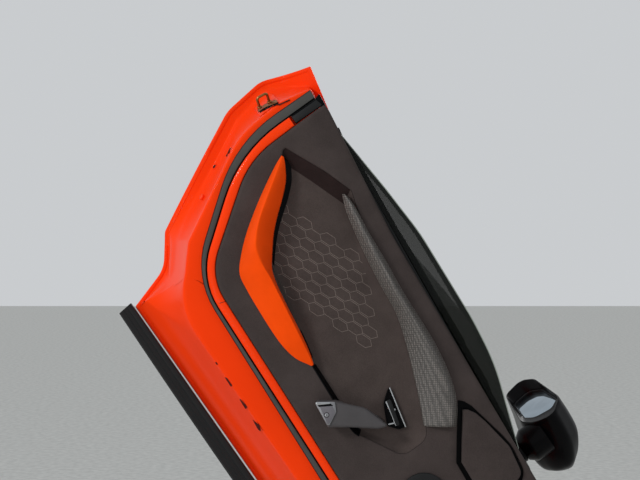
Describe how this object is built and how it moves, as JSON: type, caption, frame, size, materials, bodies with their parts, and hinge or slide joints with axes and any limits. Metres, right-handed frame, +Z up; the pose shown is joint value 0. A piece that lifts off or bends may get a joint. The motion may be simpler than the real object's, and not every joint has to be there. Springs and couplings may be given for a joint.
{
  "type": "scissor door",
  "caption": "Raised left-hand scissor door of a low sports car with armrest trim, lowered window, folding mirror, hinge and gas strut.",
  "frame": {"origin": "centre of the hinge bracket's bolt pattern, on its inboard mounting face", "axes": "+X to the front of the car, +Y outboard to the car's left, +Z up; the door is stored raised by 55 degrees"},
  "size_m": [1.0842, 0.4417, 1.3181],
  "materials": {
    "body_paint": "gloss",
    "frame_paint": "gloss",
    "black_plastic": "matt",
    "gloss_black": "gloss",
    "seal_rubber": "matt",
    "suede": "napped",
    "insert_suede": "napped",
    "blade_leather": "grained",
    "spear_grain": "textured satin",
    "tinted_glass": "polished",
    "silver_cap": "satin",
    "lever_chrome": "polished",
    "steel": "zinc plated",
    "cast_aluminium": "cast",
    "strut_paint": "satin",
    "mirror_silver": "polished"
  },
  "bodies": {
    "hinge_mount": {"hinge_bracket": "cast_aluminium", "hinge_pin": "steel", "strut_anchor": "steel"},
    "door": {"outer_skin": "body_paint", "inner_frame": "frame_paint", "hinge_arm": "steel", "sill_strip": "black_plastic", "door_seal": "seal_rubber", "accent_strip": "body_paint", "trim_panel": "suede", "trim_insert": "insert_suede", "armrest_blade": "blade_leather", "spear_trim": "spear_grain", "corner_block": "gloss_black", "grab_handle": "black_plastic", "handle_cap": "silver_cap", "lever_pocket": "black_plastic", "release_lever": "lever_chrome", "striker_plate": "black_plastic", "striker_loop": "steel", "shut_buffers": "black_plastic", "window_glass": "tinted_glass", "belt_moulding": "gloss_black", "belt_seal": "seal_rubber", "sail_trim": "black_plastic", "speaker_grille": "black_plastic", "mirror_base": "gloss_black"},
    "mirror": {"mirror_housing": "gloss_black", "mirror_bezel": "black_plastic", "mirror_glass": "mirror_silver"},
    "strut_tube": {"strut_tube": "strut_paint"},
    "strut_rod": {"strut_rod": "steel"}
  },
  "joints": [
    {"name": "door_swing", "type": "hinge", "parent": "hinge_mount", "child": "door", "pos_m": [-0.09, 0.053, 0], "axis": [0, 1, 0], "range_deg": [-55, 0]},
    {"name": "mirror_fold", "type": "hinge", "parent": "door", "child": "mirror", "pos_m": [-0.16639, 0.178, 0.28344], "axis": [0.8192, 0, 0.5736], "range_deg": [0, 60]},
    {"name": "strut_swing", "type": "hinge", "parent": "hinge_mount", "child": "strut_tube", "pos_m": [0.00011, 0.028, -0.06309], "axis": [0, 1, 0], "range_deg": [-28, 0.5]},
    {"name": "strut_slide", "type": "slide", "parent": "strut_tube", "child": "strut_rod", "axis": [-0.9763, 0, 0.2164], "range_m": [-0.0628, 0]}
  ],
  "couplings": [
    {"joint": "strut_swing", "follows": "door_swing", "ratio": 0.5},
    {"joint": "strut_slide", "follows": "door_swing", "m_per_rad": 0.0612}
  ]
}
